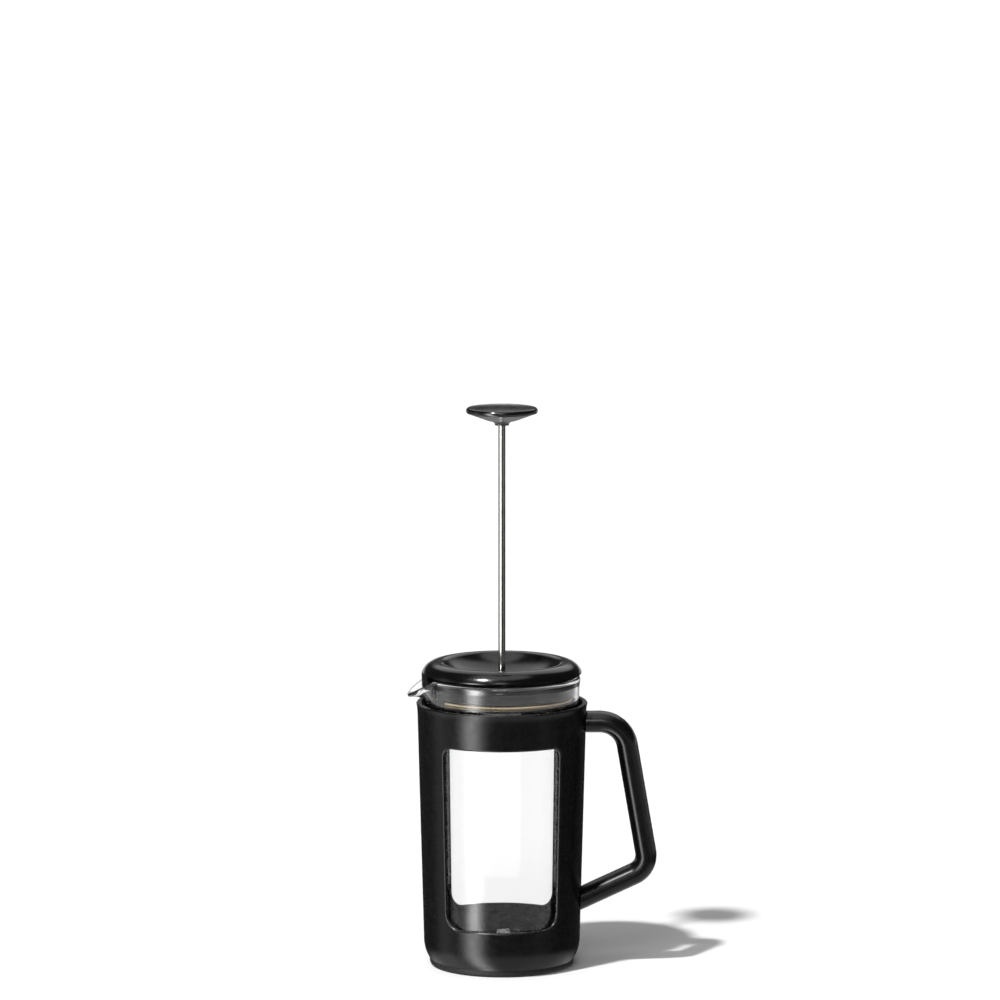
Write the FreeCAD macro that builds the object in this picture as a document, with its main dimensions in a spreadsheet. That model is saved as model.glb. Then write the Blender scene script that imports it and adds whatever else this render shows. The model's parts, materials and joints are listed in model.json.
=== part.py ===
import FreeCAD, Part
import math
import os

import Sketcher

# French press: window frame with handle, glass carafe with spout, lid with pouring
# strainer, and plunger with spring-edged filter.
# Millimetres, +Z up. The origin is on the vertical axis at the face of the foot pad.
# The handle is towards +X and the spout towards -X.

DIMENSIONS = {
    # Foot pad
    "foot_radius": 46.3,
    "foot_base_radius": 45.0,
    "foot_side_bend": 4.2,
    "foot_height": 3.0,
    "foot_hub": 12.0,
    "foot_ring": 33.0,
    "foot_recess": 0.8,
    "foot_step": 39.9,
    "foot_seam": 4.0,
    # Frame shell
    "frame_floor": 5.0,
    "frame_height": 170.0,
    "base_radius": 46.2,
    "base_bend": 24.0,
    "wall_low": 17.0,
    "wall_low_outer": 50.0,
    "wall_low_inner": 48.0,
    "floor_bend": 8.0,
    "wall_high": 164.0,
    "wall_high_outer": 53.95,
    "wall_high_inner": 50.9,
    "rim_outer": 54.7,
    "rim_inner": 51.4,
    "rim_flare": 5.2,
    "rim_flare_bend": 20.0,
    "rim_edge": 0.6,
    # Windows in the frame, one in front and one behind
    "window_angle": 88.6,
    "window_reach_inner": 44.0,
    "window_reach_outer": 58.0,
    "window_count": 2,
    "window_low": 29.5,
    "window_high": 146.4,
    "window_low_bend": 10.5,
    "window_high_bend": 6.0,
    "window_edge": 1.4,
    # Handle
    "arm_level": 157.1,
    "grip_out": 80.1,
    "grip_low": 72.6,
    "grip_lean": 9.8,
    "arm_slope": 25.0,
    "high_bend": 17.8,
    "low_bend": 13.4,
    "handle_thick": 13.6,
    "handle_wide": 20.0,
    # Screws that hold the handle from inside the frame
    "screw_radius": 1.5,
    "screw_head": 3.0,
    "screw_taper": 1.6,
    "screw_length": 12.0,
    "screw_socket": 1.2,
    "screw_socket_depth": 1.2,
    "screw_high_level": 157.1,
    "screw_high_out": 51.7,
    "screw_low_level": 44.0,
    "screw_low_out": 48.9,
    # Glass carafe
    "glass_height": 181.5,
    "glass_low_radius": 47.8,
    "glass_low_bend": 9.0,
    "glass_wall": 2.1,
    "glass_taper_top": 161.5,
    "glass_high_radius": 49.3,
    "glass_floor": 3.0,
    "glass_floor_bend": 7.2,
    "kick_radius": 28.0,
    "kick_height": 1.4,
    "kick_bend": 280.7,
    "bead_radius": 1.5,
    "bead_drop": 2.875,
    # Spout, part of a vertical cylinder set off centre, cut by a sloping plane
    "spout_centre": 38.0,
    "spout_radius": 23.0,
    "spout_bend": 4.0,
    "spout_depth": 12.5,
    "spout_mouth": 44.0,
    "lip_far": 72.0,
    "lip_far_drop": 18.0,
    "clearance_height": 6.0,
    # Lid
    "lid_level": 190.0,
    "lid_radius": 50.9,
    "lid_wall": 2.0,
    "lid_seam": 1.0,
    "lid_edge_drop": 0.2,
    "lid_edge_rise": 6.4,
    "lid_edge_reach": 8.9,
    "lid_edge_bend": 10.6,
    "crest_radius": 40.0,
    "crest_bend": 5.0,
    "dish_top_radius": 36.786,
    "dish_top_drop": 1.17,
    "dish_bend": 47.2,
    "dish_floor_radius": 8.0,
    "dish_floor": 6.0,
    "bush_radius": 5.5,
    "skirt_radius": 46.6,
    "skirt_wall": 1.8,
    "skirt_drop": 14.6,
    "seat_radius": 47.6,
    "seat_drop": 3.3,
    "web_drop": 8.0,
    "notch_angle": 76.0,
    # Guide bush in the lid
    "bush_fit": 0.05,
    "bush_flange": 7.5,
    "bush_flange_height": 1.0,
    "bush_drop": 11.0,
    # Louvred block that sits in the spout
    "louvre_radius": 51.3,
    "louvre_drop": 9.4,
    "louvre_angle": 40.0,
    "louvre_corner": 1.2,
    "louvre_slot_angle": 35.0,
    "louvre_slot": 1.1,
    "louvre_pitch": 1.9,
    "louvre_count": 3,
    "louvre_slot_drop": 8.5,
    # Slotted panel that hangs behind the spout
    "panel_wall": 1.2,
    "panel_drop": 24.7,
    "panel_corner": 2.4,
    "panel_post": 8.0,
    "panel_slot_angle": 2.6,
    "panel_slot_low": 22.3,
    "panel_slot_high": 5.6,
    "panel_slot_count": 13,
    # Plunger rod and knob
    "rod_radius": 2.25,
    "rod_chamfer": 0.4,
    "knob_level": 348.0,
    "rod_in_knob": 6.5,
    "neck_radius": 4.6,
    "neck_height": 0.9,
    "neck_bend": 5.0,
    "cone_low_radius": 8.9,
    "cone_low": 2.9,
    "cone_high_radius": 22.2,
    "cone_high": 7.8,
    "insert_radius": 3.4,
    "insert_height": 7.2,
    "knob_radius": 22.9,
    "knob_widest": 9.4,
    "knob_low_bend": 2.4,
    "knob_shoulder_radius": 21.2,
    "knob_shoulder": 11.2,
    "knob_shoulder_bend": 1.9,
    "knob_height": 12.0,
    "knob_dome_bend": 281.3,
    # Filter
    "filter_level": 169.8,
    "plate_radius": 44.4,
    "plate_wall": 0.8,
    "plate_lip": 1.4,
    "plate_window_inner": 9.0,
    "plate_window_outer": 38.0,
    "plate_window_angle": 66.0,
    "plate_window_count": 4,
    "mesh_radius": 44.6,
    "mesh_wall": 0.4,
    "spring_plate_radius": 41.9,
    "spring_plate_wall": 0.7,
    "spring_hole_radius": 5.2,
    "spring_hole_circle": 27.0,
    "spring_hole_count": 8,
    "spring_ring": 43.4,
    "spring_coil": 1.6,
    "collar_radius": 4.5,
    "collar_height": 3.5,
    "nut_radius": 5.4,
    "nut_height": 5.0,
    "nut_bore": 4.5,
}

FULL_TURN = 360.0
QUARTER_TURN = 90.0
HEXAGON = 6
SAME = 1e-3  # lengths and volumes closer than this count as equal
BEHIND = 180.0  # turn that brings a piece made at +X round to the spout side
ANGLE_PER_DEGREE = math.pi / 180.0

doc = FreeCAD.newDocument("FrenchPress")
sheet = doc.addObject("Spreadsheet::Sheet", "Sheet")
for row, (alias, number) in enumerate(DIMENSIONS.items(), start=1):
    sheet.set(f"A{row}", alias)
    sheet.set(f"B{row}", str(number))
    sheet.setAlias(f"B{row}", alias)
doc.recompute()

sub_parts = []


def terms(text):
    """Split text such as 'glass_radius - glass_wall' into signed names."""
    sign = 1.0
    for word in text.split():
        if word in ("+", "-"):
            sign = 1.0 if word == "+" else -1.0
        else:
            yield sign, word
            sign = 1.0


def value(text):
    """The number that a sum of named dimensions comes to."""
    return sum(sign * float(sheet.get(word)) for sign, word in terms(text))


def formula(text):
    """The same sum as an expression on the sheet."""
    return " ".join(f"{'-' if sign < 0 else '+'} Sheet.{word}" for sign, word in terms(text))


def origin_plane(body, role):
    """One of the body's own origin planes or axes."""
    for feature in body.Origin.OriginFeatures:
        if feature.Role == role:
            return feature
    raise RuntimeError(f"{body.Name} has no {role}")


def new_body(name, level="", turn=0.0):
    """A body with its own label, standing at a height of the assembly."""
    body = doc.addObject("PartDesign::Body", name)
    body.Label = name
    body.Placement = FreeCAD.Placement(
        FreeCAD.Vector(0, 0, value(level)),
        FreeCAD.Rotation(FreeCAD.Vector(0, 0, 1), turn),
    )
    if level:
        body.setExpression("Placement.Base.z", formula(level))
    sub_parts.append(body)
    return body


def new_sketch(body, name, role="XZ_Plane", turn=0.0):
    """A sketch on an origin plane, turned about the sketch's own upright if asked."""
    sketch = body.newObject("Sketcher::SketchObject", name)
    sketch.AttachmentSupport = [(origin_plane(body, role), "")]
    sketch.MapMode = "FlatFace"
    if turn:
        sketch.AttachmentOffset = FreeCAD.Placement(
            FreeCAD.Vector(), FreeCAD.Rotation(FreeCAD.Vector(0, 1, 0), turn)
        )
    return sketch


def bind(sketch, kind, *where, text):
    """Add a dimension to the sketch and drive it from the sheet."""
    index = sketch.addConstraint(Sketcher.Constraint(kind, *where, value(text)))
    sketch.setExpression(f"Constraints[{index}]", formula(text))


def place_point(sketch, geometry, end, across, up):
    """Hold one point of the sketch at named distances from its origin."""
    if across:
        bind(sketch, "DistanceX", geometry, end, text=across)
    else:
        sketch.addConstraint(Sketcher.Constraint("PointOnObject", geometry, end, -2))
    if up:
        bind(sketch, "DistanceY", geometry, end, text=up)
    else:
        sketch.addConstraint(Sketcher.Constraint("PointOnObject", geometry, end, -1))


def arc_through(start, finish, radius):
    """The short arc between two points, its centre on the left for a positive radius."""
    chord = finish - start
    middle = start + chord * 0.5
    left = FreeCAD.Vector(-chord.y, chord.x, 0).normalize()
    reach = math.sqrt(max(radius**2 - (chord.Length / 2) ** 2, 0.0))
    side = math.copysign(1.0, radius)
    centre = middle + left * (reach * side)
    first = start if side > 0 else finish
    last = finish if side > 0 else start
    begin = math.atan2(first.y - centre.y, first.x - centre.x)
    end = math.atan2(last.y - centre.y, last.x - centre.x)
    circle = Part.Circle(centre, FreeCAD.Vector(0, 0, 1), abs(radius))
    return Part.ArcOfCircle(circle, begin, end)


def outline(sketch, points, bends=None):
    """A closed outline. Each point is two sums of dimensions, and bends gives the radius
    of the arc that leaves a point, with a minus sign where its centre is on the right."""
    bends = bends or {}
    corners = [FreeCAD.Vector(value(x), value(y), 0) for x, y in points]
    first_geometry = sketch.GeometryCount
    ends = []
    for index, start in enumerate(corners):
        finish = corners[(index + 1) % len(corners)]
        geometry = first_geometry + index
        if index in bends:
            right = bends[index].startswith("-")
            name = bends[index].lstrip("- ")
            radius = -value(name) if right else value(name)
            sketch.addGeometry(arc_through(start, finish, radius), False)
            bind(sketch, "Radius", geometry, text=name)
            ends.append((2, 1) if right else (1, 2))
        else:
            sketch.addGeometry(Part.LineSegment(start, finish), False)
            ends.append((1, 2))
    for index, (across, up) in enumerate(points):
        before = (index - 1) % len(points)
        sketch.addConstraint(
            Sketcher.Constraint(
                "Coincident",
                first_geometry + before,
                ends[before][1],
                first_geometry + index,
                ends[index][0],
            )
        )
        place_point(sketch, first_geometry + index, ends[index][0], across, up)


def revolve(body, name, points, bends=None, angle="", cut=False, turn=0.0, axis=None):
    """Turn an outline about the upright axis, adding material or cutting it away."""
    sketch = new_sketch(body, f"{name}_outline", turn=turn)
    outline(sketch, points, bends)
    reference = "V_Axis"
    if axis:
        line = sketch.addGeometry(
            Part.LineSegment(
                FreeCAD.Vector(value(axis), 0, 0),
                FreeCAD.Vector(value(axis), value("frame_floor"), 0),
            ),
            True,
        )
        sketch.addConstraint(Sketcher.Constraint("Vertical", line))
        place_point(sketch, line, 1, axis, "")
        bind(sketch, "DistanceY", line, 2, text="frame_floor")
        reference = "Axis0"
    kind = "PartDesign::Groove" if cut else "PartDesign::Revolution"
    feature = body.newObject(kind, name)
    feature.Profile = sketch
    feature.ReferenceAxis = (sketch, [reference])
    feature.Angle = value(angle) if angle else FULL_TURN
    if angle:
        feature.Midplane = True
        feature.setExpression("Angle", formula(angle))
    sketch.Visibility = False
    doc.recompute()
    return feature


def check_cut(body, before, name):
    """A cut has to take material away."""
    if body.Shape.Volume >= before - SAME:
        raise RuntimeError(f"{name} cut nothing from {body.Name}")


def groove(body, name, points, bends=None, angle="", turn=0.0, axis=None):
    """A revolved cut that is known to have cut something."""
    before = body.Shape.Volume
    feature = revolve(body, name, points, bends, angle, True, turn, axis)
    check_cut(body, before, name)
    return feature


def pocket_through(body, name, sketch):
    """Cut a sketched opening right through the piece, both ways from its plane."""
    before = body.Shape.Volume
    feature = body.newObject("PartDesign::Pocket", name)
    feature.Profile = sketch
    feature.Type = "ThroughAll"
    feature.Midplane = True
    sketch.Visibility = False
    doc.recompute()
    check_cut(body, before, name)
    return feature


def polar_pattern(body, name, feature, count, angle):
    """Repeat a feature about the upright axis."""
    pattern = body.newObject("PartDesign::PolarPattern", name)
    pattern.Originals = [feature]
    pattern.Axis = (origin_plane(body, "Z_Axis"), [""])
    pattern.Angle = angle
    pattern.Occurrences = int(value(count))
    pattern.setExpression("Occurrences", formula(count))
    body.Tip = pattern
    doc.recompute()
    return pattern


def primitive(body, kind, name, placement, **sizes):
    """A PartDesign primitive whose sizes are named dimensions."""
    feature = body.newObject(f"PartDesign::{kind}", name)
    feature.Placement = placement
    for size, text in sizes.items():
        setattr(feature, size, value(text))
        feature.setExpression(size, formula(text))
    doc.recompute()
    return feature


def towards_x(out, level):
    """A placement at a distance from the axis whose own Z points along +X."""
    return FreeCAD.Placement(
        FreeCAD.Vector(value(out), 0, value(level)),
        FreeCAD.Rotation(FreeCAD.Vector(0, 1, 0), 90.0),
    )


def make_foot_pad():
    """Soft pad under the frame, its raised outer band seated round the frame's floor."""
    body = new_body("foot_pad")
    revolve(
        body,
        "pad",
        [
            ("", ""),
            ("foot_hub", ""),
            ("foot_hub", "foot_recess"),
            ("foot_ring", "foot_recess"),
            ("foot_ring", ""),
            ("foot_base_radius", ""),
            ("foot_radius", "foot_height"),
            ("foot_radius", "foot_seam"),
            ("foot_step", "foot_seam"),
            ("foot_step", "foot_height"),
            ("", "foot_height"),
        ],
        {5: "foot_side_bend"},
    )


def make_frame_shell():
    """Tapered cup with a flared rim and a window in front and behind."""
    body = new_body("frame_shell")
    revolve(
        body,
        "cup",
        [
            ("", "foot_height"),
            ("foot_step", "foot_height"),
            ("foot_step", "foot_seam"),
            ("base_radius", "foot_seam"),
            ("wall_low_outer", "wall_low"),
            ("wall_high_outer", "wall_high"),
            ("rim_outer", "wall_high + rim_flare"),
            ("rim_outer", "frame_height - rim_edge"),
            ("rim_outer - rim_edge", "frame_height"),
            ("rim_inner + rim_edge", "frame_height"),
            ("rim_inner", "frame_height - rim_edge"),
            ("wall_high_inner", "wall_high"),
            ("wall_low_inner", "wall_low"),
            ("wall_low_inner", "frame_floor + floor_bend"),
            ("wall_low_inner - floor_bend", "frame_floor"),
            ("", "frame_floor"),
        ],
        {3: "base_bend", 5: "- rim_flare_bend", 13: "- floor_bend"},
    )
    for place in ("high", "low"):
        seat = towards_x(f"screw_{place}_out", f"screw_{place}_level")
        before = body.Shape.Volume
        primitive(
            body,
            "SubtractiveCone",
            f"screw_seat_{place}",
            seat,
            Radius1="screw_head",
            Radius2="screw_radius",
            Height="screw_taper",
        )
        primitive(
            body,
            "SubtractiveCylinder",
            f"screw_hole_{place}",
            seat,
            Radius="screw_radius",
            Height="screw_length",
        )
        check_cut(body, before, place)
    window = groove(
        body,
        "window",
        [
            ("window_reach_inner", "window_low"),
            ("window_reach_outer", "window_low"),
            ("window_reach_outer", "window_high"),
            ("window_reach_inner", "window_high"),
        ],
        angle="window_angle",
        turn=QUARTER_TURN,
    )
    polar_pattern(body, "windows", window, "window_count", FULL_TURN)
    for level in ("window_low", "window_high"):
        corners = [name for name, edge in named_edges(body) if is_corner(edge, level)]
        round_edges(body, f"{level}_corners", corners, f"{level}_bend")
    rims = [name for name, edge in named_edges(body) if is_window_rim(edge)]
    round_edges(body, "window_rims", rims, "window_edge")


def named_edges(body):
    """The edges of the body's shape so far, each with the name that a feature calls it by."""
    return [(f"Edge{i}", edge) for i, edge in enumerate(body.Shape.Edges, start=1)]


def from_axis(point):
    """Distance of a point from the upright axis."""
    return math.hypot(point.x, point.y)


def is_corner(edge, level):
    """A straight edge at a named height that runs through the thickness of a wall."""
    ends = [vertex.Point for vertex in edge.Vertexes]
    if any(abs(end.z - value(level)) > SAME for end in ends):
        return False
    across = abs(from_axis(ends[0]) - from_axis(ends[-1]))
    return across > SAME and abs(across - ends[0].distanceToPoint(ends[-1])) < SAME


def is_window_rim(edge):
    """An edge where a window meets the outside of the wall, and not a screw hole's edge."""
    lean = (value("wall_high_outer") - value("wall_low_outer")) / (
        value("wall_high") - value("wall_low")
    )
    if abs(edge.BoundBox.Center.y) < value("screw_head"):
        return False
    heights = [vertex.Z for vertex in edge.Vertexes]
    if min(heights) < value("window_low") - SAME or max(heights) > value("window_high") + SAME:
        return False
    return all(
        abs(from_axis(v.Point) - value("wall_low_outer") - (v.Z - value("wall_low")) * lean) < SAME
        for v in edge.Vertexes
    )


def round_edges(body, name, edges, radius):
    """Fillet the named edges of the body's newest feature."""
    if not edges:
        raise RuntimeError(f"{name} found no edge to round")
    base = body.Tip
    fillet = body.newObject("PartDesign::Fillet", name)
    fillet.Base = (base, edges)
    fillet.Radius = value(radius)
    fillet.setExpression("Radius", formula(radius))
    doc.recompute()


def make_handle():
    """D-shaped handle swept along a rounded path, its ends fitted to the frame wall."""
    body = new_body("handle")
    lean = value("grip_lean") * ANGLE_PER_DEGREE
    slope = value("arm_slope") * ANGLE_PER_DEGREE
    high, low = value("high_bend"), value("low_bend")
    down = FreeCAD.Vector(math.sin(lean), -math.cos(lean), 0)
    inward = FreeCAD.Vector(-math.cos(slope), -math.sin(slope), 0)
    grip_top = FreeCAD.Vector(
        value("grip_out"), value("arm_level") - high * (1 - math.sin(lean)), 0
    )
    grip_end = grip_top + down * ((grip_top.y - value("grip_low")) / math.cos(lean))
    arm_end = FreeCAD.Vector(grip_top.x - high * math.cos(lean), value("arm_level"), 0)
    low_centre = grip_end + FreeCAD.Vector(down.y, -down.x, 0) * low
    low_start = low_centre + FreeCAD.Vector(-inward.y, inward.x, 0) * low
    root = low_start + inward * (low_start.x / math.cos(slope))

    path = new_sketch(body, "handle_path")
    path.addGeometry(Part.LineSegment(FreeCAD.Vector(0, arm_end.y, 0), arm_end), False)
    path.addGeometry(arc_through(arm_end, grip_top, -high), False)
    path.addGeometry(Part.LineSegment(grip_top, grip_end), False)
    path.addGeometry(arc_through(grip_end, low_start, -low), False)
    path.addGeometry(Part.LineSegment(low_start, root), False)
    for joined in ((0, 2, 1, 2), (1, 1, 2, 1), (2, 2, 3, 2), (3, 1, 4, 1)):
        path.addConstraint(Sketcher.Constraint("Tangent", *joined))
    path.addConstraint(Sketcher.Constraint("Horizontal", 0))
    place_point(path, 0, 1, "", "arm_level")
    bind(path, "Radius", 1, text="high_bend")
    bind(path, "Radius", 3, text="low_bend")
    bind(path, "DistanceX", 2, 1, text="grip_out")
    bind(path, "DistanceY", 2, 2, text="grip_low")
    for line, angle, rest in ((2, "grip_lean", QUARTER_TURN), (4, "arm_slope", BEHIND)):
        direction = (value(angle) - rest) * ANGLE_PER_DEGREE
        index = path.addConstraint(Sketcher.Constraint("Angle", line, direction))
        path.setExpression(f"Constraints[{index}]", f"(Sheet.{angle} - {rest}) * 1 deg")
    path.addConstraint(Sketcher.Constraint("PointOnObject", 4, 2, -2))

    section = new_sketch(body, "handle_section", "YZ_Plane")
    half_wide, half_thick = value("handle_wide") / 2, value("handle_thick") / 2
    centre = FreeCAD.Vector(0, value("arm_level"), 0)
    section.addGeometry(
        Part.Ellipse(
            centre + FreeCAD.Vector(half_wide, 0, 0),
            centre + FreeCAD.Vector(0, half_thick, 0),
            centre,
        ),
        False,
    )
    section.exposeInternalGeometry(0)
    place_point(section, 0, 3, "", "arm_level")
    section.addConstraint(Sketcher.Constraint("Horizontal", 1))
    bind(section, "Distance", 1, text="handle_wide")
    bind(section, "Distance", 2, text="handle_thick")

    sweep = body.newObject("PartDesign::AdditivePipe", "handle_sweep")
    sweep.Profile = section
    sweep.Spine = (path, [])
    path.Visibility = False
    section.Visibility = False
    doc.recompute()
    groove(
        body,
        "frame_clearance",
        [
            ("", ""),
            ("wall_low_outer", ""),
            ("wall_low_outer", "wall_low"),
            ("wall_high_outer", "wall_high"),
            ("", "wall_high"),
        ],
    )
    for name in ("high", "low"):
        primitive(
            body,
            "SubtractiveCylinder",
            f"pilot_{name}",
            towards_x(f"screw_{name}_out", f"screw_{name}_level"),
            Radius="screw_radius",
            Height="screw_length",
        )


def make_handle_screw(name):
    """Countersunk screw through the frame wall into one end of the handle."""
    body = new_body(f"handle_screw_{name}")
    revolve(
        body,
        "shank",
        [
            ("", ""),
            ("screw_head", ""),
            ("screw_radius", "screw_taper"),
            ("screw_radius", "screw_length - screw_radius"),
            ("", "screw_length"),
        ],
    )
    socket = primitive(
        body,
        "SubtractivePrism",
        "socket",
        FreeCAD.Placement(),
        Circumradius="screw_socket",
        Height="screw_socket_depth",
    )
    socket.Polygon = HEXAGON
    body.Placement = towards_x(f"screw_{name}_out", f"screw_{name}_level")
    body.setExpression("Placement.Base.x", formula(f"screw_{name}_out"))
    body.setExpression("Placement.Base.z", formula(f"screw_{name}_level"))


def make_glass_carafe():
    """Blown glass with a rounded foot, a beaded rim and a pulled spout."""
    body = new_body("glass_carafe", "frame_floor")
    bead_centre = "glass_high_radius - glass_wall + bead_radius"
    revolve(
        body,
        "beaker",
        [
            ("", "kick_height"),
            ("kick_radius", ""),
            ("glass_low_radius - glass_low_bend", ""),
            ("glass_low_radius", "glass_low_bend"),
            ("glass_high_radius", "glass_taper_top"),
            ("glass_high_radius", "glass_height - bead_drop"),
            (f"{bead_centre} + bead_radius", "glass_height - bead_radius"),
            (bead_centre, "glass_height"),
            ("glass_high_radius - glass_wall", "glass_height - bead_radius"),
            ("glass_high_radius - glass_wall", "glass_taper_top"),
            ("glass_low_radius - glass_wall", "glass_floor + glass_floor_bend"),
            ("glass_low_radius - glass_wall - glass_floor_bend", "glass_floor"),
            ("kick_radius", "glass_floor"),
            ("", "glass_floor + kick_height"),
        ],
        {
            0: "- kick_bend",
            2: "glass_low_bend",
            5: "bead_radius",
            6: "bead_radius",
            7: "bead_radius",
            10: "- glass_floor_bend",
            12: "kick_bend",
        },
    )
    under = "glass_height - spout_depth"
    revolve(
        body,
        "spout",
        [
            ("- spout_centre", under),
            ("- spout_centre", "glass_height"),
            ("- spout_centre - spout_radius", "glass_height"),
            ("- spout_centre - spout_radius", f"{under} + spout_bend"),
            ("- spout_centre - spout_radius + spout_bend", under),
        ],
        {3: "spout_bend"},
        axis="- spout_centre",
    )
    above = "glass_height + clearance_height"
    groove(
        body,
        "spout_channel",
        [
            ("- spout_centre", f"{under} + glass_wall"),
            ("- spout_centre", above),
            ("- spout_centre - spout_radius + glass_wall", above),
            ("- spout_centre - spout_radius + glass_wall", f"{under} + spout_bend"),
            ("- spout_centre - spout_radius + spout_bend", f"{under} + glass_wall"),
        ],
        {3: "spout_bend - glass_wall"},
        axis="- spout_centre",
    )
    groove(
        body,
        "inside",
        [
            ("", under),
            ("glass_high_radius - glass_wall", under),
            ("glass_high_radius - glass_wall", above),
            ("", above),
        ],
    )
    slope = new_sketch(body, "lip_slope")
    outline(
        slope,
        [
            ("- spout_mouth", "glass_height"),
            ("- spout_mouth", above),
            ("- lip_far", above),
            ("- lip_far", "glass_height - lip_far_drop"),
        ],
    )
    pocket_through(body, "lip", slope)


def make_lid_cover():
    """Glossy upper shell of the lid: a rounded ring round a deep dish."""
    body = new_body("lid_cover", "lid_level")
    top = "lid_edge_rise - lid_edge_drop"
    revolve(
        body,
        "shell",
        [
            ("lid_radius - lid_wall", "- lid_seam"),
            ("lid_radius", "- lid_seam"),
            ("lid_radius", "- lid_edge_drop"),
            ("lid_radius - lid_edge_reach", top),
            ("crest_radius", top),
            ("dish_top_radius", f"{top} - dish_top_drop"),
            ("dish_floor_radius", "- dish_floor"),
            ("bush_radius", "- dish_floor"),
            ("bush_radius", "- dish_floor - lid_wall"),
            ("dish_floor_radius", "- dish_floor - lid_wall"),
            ("crest_radius", f"{top} - lid_wall - lid_seam"),
            ("lid_radius - lid_edge_reach", f"{top} - lid_wall"),
            ("lid_radius - lid_wall", "- lid_edge_drop"),
        ],
        {
            2: "lid_edge_bend",
            4: "crest_bend",
            5: "- dish_bend",
            9: "dish_bend + lid_wall",
            11: "- lid_edge_bend - lid_wall",
        },
    )


def make_lid_body():
    """Lower shell of the lid: flange on the rim of the glass, skirt inside it and a web."""
    body = new_body("lid_body", "lid_level")
    inner = "skirt_radius - skirt_wall"
    revolve(
        body,
        "shell",
        [
            ("bush_radius", "- web_drop - skirt_wall"),
            (inner, "- web_drop - skirt_wall"),
            (inner, "- skirt_drop"),
            ("skirt_radius", "- skirt_drop"),
            ("skirt_radius", "- seat_drop"),
            ("seat_radius", "- seat_drop"),
            ("lid_radius", "- lid_seam"),
            (inner, "- lid_seam"),
            (inner, "- web_drop"),
            ("bush_radius", "- web_drop"),
        ],
    )
    groove(
        body,
        "notch",
        [
            (inner, "- seat_drop"),
            ("skirt_radius + lid_seam", "- seat_drop"),
            ("skirt_radius + lid_seam", "- skirt_drop - lid_seam"),
            (inner, "- skirt_drop - lid_seam"),
        ],
        angle="notch_angle",
        turn=BEHIND,
    )


def make_spout_louvre():
    """Louvred block under the flange that fills the mouth of the spout."""
    body = new_body("spout_louvre", "lid_level", BEHIND)
    revolve(
        body,
        "block",
        [
            ("skirt_radius", "- louvre_drop"),
            ("louvre_radius - louvre_corner", "- louvre_drop"),
            ("louvre_radius", "- louvre_drop + louvre_corner"),
            ("louvre_radius", "- lid_seam"),
            ("lid_radius", "- lid_seam"),
            ("seat_radius", "- seat_drop"),
            ("skirt_radius", "- seat_drop"),
        ],
        {1: "louvre_corner"},
        angle="louvre_angle",
    )
    slot = groove(
        body,
        "slot",
        [
            ("skirt_radius - lid_seam", "- louvre_slot_drop"),
            ("louvre_radius + lid_seam", "- louvre_slot_drop"),
            ("louvre_radius + lid_seam", "- louvre_slot_drop + louvre_slot"),
            ("skirt_radius - lid_seam", "- louvre_slot_drop + louvre_slot"),
        ],
        angle="louvre_slot_angle",
    )
    rows = body.newObject("PartDesign::LinearPattern", "slots")
    rows.Originals = [slot]
    rows.Direction = (origin_plane(body, "Z_Axis"), [""])
    rows.Occurrences = int(value("louvre_count"))
    rows.Length = value("louvre_pitch") * (value("louvre_count") - 1)
    rows.setExpression("Length", "Sheet.louvre_pitch * (Sheet.louvre_count - 1)")
    body.Tip = rows
    doc.recompute()


def make_strainer_panel():
    """Slotted panel in the notch of the skirt, hanging behind the spout."""
    body = new_body("strainer_panel", "lid_level", BEHIND)
    inner = "skirt_radius - panel_wall"
    revolve(
        body,
        "panel",
        [
            (inner, "- panel_drop"),
            ("skirt_radius", "- panel_drop"),
            ("skirt_radius", "- seat_drop"),
            (inner, "- seat_drop"),
        ],
        angle="notch_angle",
    )
    bottom = "lid_level - panel_drop"
    corners = [name for name, edge in named_edges(body) if is_corner(edge, bottom)]
    round_edges(body, "panel_corners", corners, "panel_corner")
    first = -value("notch_angle") / 2 + value("panel_post")
    slot = groove(
        body,
        "slot",
        [
            (f"{inner} - lid_seam", "- panel_slot_low"),
            ("skirt_radius + lid_seam", "- panel_slot_low"),
            ("skirt_radius + lid_seam", "- panel_slot_high"),
            (f"{inner} - lid_seam", "- panel_slot_high"),
        ],
        angle="panel_slot_angle",
        turn=first,
    )
    polar_pattern(body, "slots", slot, "panel_slot_count", -2 * first)


def make_rod_bush():
    """Flanged guide for the rod, pressed through the lid."""
    body = new_body("rod_bush", "lid_level")
    bore = "rod_radius + bush_fit"
    revolve(
        body,
        "sleeve",
        [
            (bore, "- bush_drop"),
            ("bush_radius", "- bush_drop"),
            ("bush_radius", "- dish_floor"),
            ("bush_flange", "- dish_floor"),
            ("bush_flange", "- dish_floor + rod_chamfer"),
            ("bush_flange - rod_chamfer", "- dish_floor + bush_flange_height"),
            (bore, "- dish_floor + bush_flange_height"),
        ],
    )


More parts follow.
